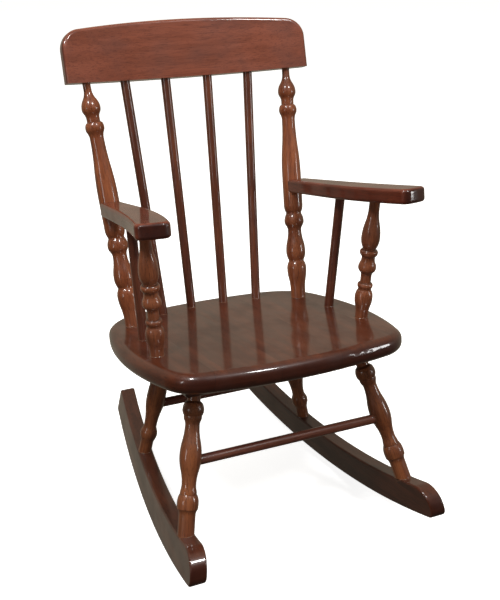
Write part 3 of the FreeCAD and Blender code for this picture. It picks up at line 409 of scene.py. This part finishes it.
# each joint: the stick, the board it enters, and the stick's radius there
joints = [
    (f"back_spindle_{place}", board, 0.0075) for place in range(1, 5) for board in ("seat", "crest_rail")
]
for side in ("left", "right"):
    joints += [
        (f"{side}_back_post", "seat", 0.0126),
        (f"{side}_back_post", "crest_rail", 0.0062),
        (f"{side}_arm_post", "seat", 0.0100),
        (f"{side}_arm_post", f"{side}_arm", 0.0082),
        (f"{side}_arm_rod", "seat", 0.0075),
        (f"{side}_arm_rod", f"{side}_arm", 0.0075),
        (f"{side}_front_leg", f"{side}_rocker", 0.0121),
        (f"{side}_rear_leg", f"{side}_rocker", 0.0105),
        ("front_stretcher", f"{side}_front_leg", 0.0073),
        ("rear_stretcher", f"{side}_rear_leg", 0.0073),
    ]
corners = []
runs = []
for stick, board, radius in joints:
    outline = crease(stick, board, radius)
    placed = {}
    for step, place in enumerate(outline):
        if place:
            placed[step] = len(corners)
            corners.append(place)
    # a front leg's foot is as wide as its rocker, so its line stops where the edge falls away
    longest_run = LINE_SLACK * 2 * math.pi * radius / LINE_STEPS
    for step in placed:
        following = (step + 1) % LINE_STEPS
        if following in placed and (outline[step] - outline[following]).length < longest_run:
            runs.append((placed[step], placed[following]))

dried, tree = new_material("dried_gloss_lacquer")
# the lacquer is a little cloudy where it is thick
coordinates = add(tree, "ShaderNodeTexCoord").outputs["Object"]
cloud = add(tree, "ShaderNodeTexNoise", vector=coordinates, scale=300.0)
tint = add(
    tree, "ShaderNodeMix", {"data_type": "RGBA"},
    in0=cloud.outputs["Fac"], in6=srgb("8E6A52"), in7=srgb("5E3A2A"),
)
bridge = add(
    tree, "ShaderNodeBsdfPrincipled", base_color=tint.outputs[2], roughness=0.25,
    coat_weight=1.0, coat_roughness=0.1,
)
add(tree, "ShaderNodeOutputMaterial", surface=bridge)

lining = bpy.data.node_groups.new("line_along_creases", "GeometryNodeTree")
lining.interface.new_socket("Geometry", in_out="INPUT", socket_type="NodeSocketGeometry")
line_radius = lining.interface.new_socket("Line Radius", in_out="INPUT", socket_type="NodeSocketFloat")
line_sides = lining.interface.new_socket("Line Sides", in_out="INPUT", socket_type="NodeSocketInt")
lining.interface.new_socket("Geometry", in_out="OUTPUT", socket_type="NodeSocketGeometry")
inlet = add(lining, "NodeGroupInput")
path = add(lining, "GeometryNodeMeshToCurve", mesh=inlet.outputs["Geometry"])
section = add(
    lining, "GeometryNodeCurvePrimitiveCircle",
    resolution=inlet.outputs["Line Sides"], radius=inlet.outputs["Line Radius"],
)
swept = add(lining, "GeometryNodeCurveToMesh", curve=path, profile_curve=section, fill_caps=True)
real = add(lining, "GeometryNodeRealizeInstances", geometry=swept)
coated = add(lining, "GeometryNodeSetMaterial", geometry=real, material=dried)
add(lining, "NodeGroupOutput", geometry=coated)


def grown(name, mesh, tree, sizes):
    """A piece at the origin that a Geometry Nodes tree has grown from a base mesh."""
    piece = bpy.data.objects.new(name, mesh)
    bpy.context.scene.collection.objects.link(piece)
    growth = piece.modifiers.new(name, "NODES")
    growth.node_group = tree
    for socket, size in sizes.items():
        growth[socket.identifier] = size
    evaluated = piece.evaluated_get(bpy.context.evaluated_depsgraph_get())
    result = bpy.data.meshes.new_from_object(evaluated)
    piece.modifiers.clear()
    piece.data = result
    return piece


paths = bpy.data.meshes.new("crease_paths")
paths.from_pydata(corners, runs, [])
line_sizes = {line_radius: LINE_RADIUS, line_sides: LINE_SIDES}
joint_lines = grown("joint_lines", paths, lining, line_sizes)
joint_lines.data.shade_smooth()
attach(joint_lines, "root")

# ---------------------------------------------------------------------------
# Screws: zinc-plated steel wood screws with countersunk cross-recessed heads,
# eight up through the cleats into the seat and four up through the rockers
# into the feet of the legs.
# ---------------------------------------------------------------------------

SCREW_RADIUS = 0.0020
HEAD_RADIUS = 0.0040
HEAD_DEPTH = 0.0022
RECESS_LENGTH = 0.0046
RECESS_WIDTH = 0.0010
RECESS_DEPTH = 0.0016
SCREW_LENGTH = {"cleat_screws": 0.036, "rocker_screws": 0.058}

zinc, tree = new_material("zinc_plated_steel")
# plating is faintly mottled; driver scratches run every way, 0.2 mm apart
coordinates = add(tree, "ShaderNodeTexCoord").outputs["Object"]
mottle = add(tree, "ShaderNodeTexNoise", vector=coordinates, scale=900.0, detail=3.0)
plating = add(
    tree, "ShaderNodeMix", {"data_type": "RGBA"},
    in0=mottle.outputs["Fac"], in6=srgb("C9C7C0"), in7=srgb("9B9A96"),
)
dulled = add(
    tree, "ShaderNodeMapRange", value=mottle.outputs["Fac"],
    from_min=0.3, from_max=0.7, to_min=0.24, to_max=0.42,
)
scratches = add(tree, "ShaderNodeTexNoise", vector=coordinates, scale=5000.0, detail=1.0)
scored = add(tree, "ShaderNodeBump", height=scratches.outputs["Fac"], strength=0.1, distance=0.0001)
steel = add(
    tree, "ShaderNodeBsdfPrincipled",
    base_color=plating.outputs[2], metallic=1.0, roughness=dulled, normal=scored,
)
add(tree, "ShaderNodeOutputMaterial", surface=steel)

driving = bpy.data.node_groups.new("screws_at_points", "GeometryNodeTree")
driving.interface.new_socket("Geometry", in_out="INPUT", socket_type="NodeSocketGeometry")
SCREW_MEASURES = (
    "Length", "Shank Radius", "Head Radius", "Head Depth", "Recess Length", "Recess Width", "Recess Depth",
)
screw_sizes = {
    name: driving.interface.new_socket(name, in_out="INPUT", socket_type="NodeSocketFloat")
    for name in SCREW_MEASURES
}
driving.interface.new_socket("Geometry", in_out="OUTPUT", socket_type="NodeSocketGeometry")
given = add(driving, "NodeGroupInput").outputs
head = add(
    driving, "GeometryNodeMeshCone", vertices=32,
    radius_top=given["Shank Radius"], radius_bottom=given["Head Radius"], depth=given["Head Depth"],
)
# the recess is centred on the head's face, so its blocks are twice as deep as it is
block_depth = add(driving, "ShaderNodeMath", {"operation": "MULTIPLY"}, in0=given["Recess Depth"], in1=2.0)
blocks = []
for first, second in (("Recess Length", "Recess Width"), ("Recess Width", "Recess Length")):
    size = add(driving, "ShaderNodeCombineXYZ", x=given[first], y=given[second], z=block_depth)
    blocks.append(add(driving, "GeometryNodeMeshCube", size=size))
recessed = add(driving, "GeometryNodeMeshBoolean", {"operation": "DIFFERENCE"}, mesh_1=head.outputs["Mesh"])
for block in blocks:
    driving.links.new(block.outputs["Mesh"], recessed.inputs["Mesh 2"])
shank = add(
    driving, "GeometryNodeMeshCylinder", vertices=24, radius=given["Shank Radius"], depth=given["Length"]
)
half = add(driving, "ShaderNodeMath", {"operation": "MULTIPLY"}, in0=given["Length"], in1=0.5)
sunk = add(driving, "ShaderNodeMath", {"operation": "ADD"}, in0=half, in1=given["Recess Depth"])
rise = add(driving, "ShaderNodeCombineXYZ", z=sunk)
set_in = add(driving, "GeometryNodeTransform", geometry=shank.outputs["Mesh"], translation=rise)
screw = add(driving, "GeometryNodeJoinGeometry", geometry=recessed.outputs["Mesh"])
driving.links.new(set_in.outputs["Geometry"], screw.inputs["Geometry"])
into_wood = add(driving, "GeometryNodeInputNamedAttribute", {"data_type": "FLOAT_VECTOR"}, name="into_wood")
turned_in = add(
    driving, "FunctionNodeAlignRotationToVector", {"axis": "Z"}, vector=into_wood.outputs["Attribute"]
)
placed = add(
    driving, "GeometryNodeInstanceOnPoints", points=given["Geometry"], instance=screw, rotation=turned_in
)
real = add(driving, "GeometryNodeRealizeInstances", geometry=placed)
plated = add(driving, "GeometryNodeSetMaterial", geometry=real, material=zinc)
add(driving, "NodeGroupOutput", geometry=plated)


def driven_at(node):
    """Where each screw of a node has the middle of its head, and which way it goes in."""
    loose = bmesh.new()
    loose.from_mesh(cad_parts[node].data)
    bmesh.ops.remove_doubles(loose, verts=loose.verts, dist=1e-6)
    left = set(loose.verts)
    found = []
    while left:
        reached = [left.pop()]
        for corner in reached:
            for edge in corner.link_edges:
                other = edge.other_vert(corner)
                if other in left:
                    left.remove(other)
                    reached.append(other)
        places = np.array([corner.co for corner in reached])
        middle = places.mean(axis=0)
        way = np.linalg.svd(places - middle, full_matrices=False)[2][0]
        heights = (places - middle) @ way
        spread = np.linalg.norm(places - middle - np.outer(heights, way), axis=1)
        if heights[spread.argmax()] > 0:
            way, heights = -way, -heights
        found.append((Vector(middle + way * heights.min()), Vector(way)))
    loose.free()
    return sorted(found, key=lambda screw: tuple(round(number, 4) for number in screw[0]))


for node, length in SCREW_LENGTH.items():
    screws = driven_at(node)
    points = bpy.data.meshes.new(f"{node}_points")
    points.from_pydata([place for place, way in screws], [], [])
    ways = points.attributes.new("into_wood", "FLOAT_VECTOR", "POINT")
    ways.data.foreach_set("vector", [number for place, way in screws for number in way])
    numbers = (
        length - RECESS_DEPTH, SCREW_RADIUS, HEAD_RADIUS, HEAD_DEPTH,
        RECESS_LENGTH, RECESS_WIDTH, RECESS_DEPTH,
    )
    piece = grown(f"recessed_{node}", points, driving, dict(zip(screw_sizes.values(), numbers)))
    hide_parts(node)
    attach(piece, "root")
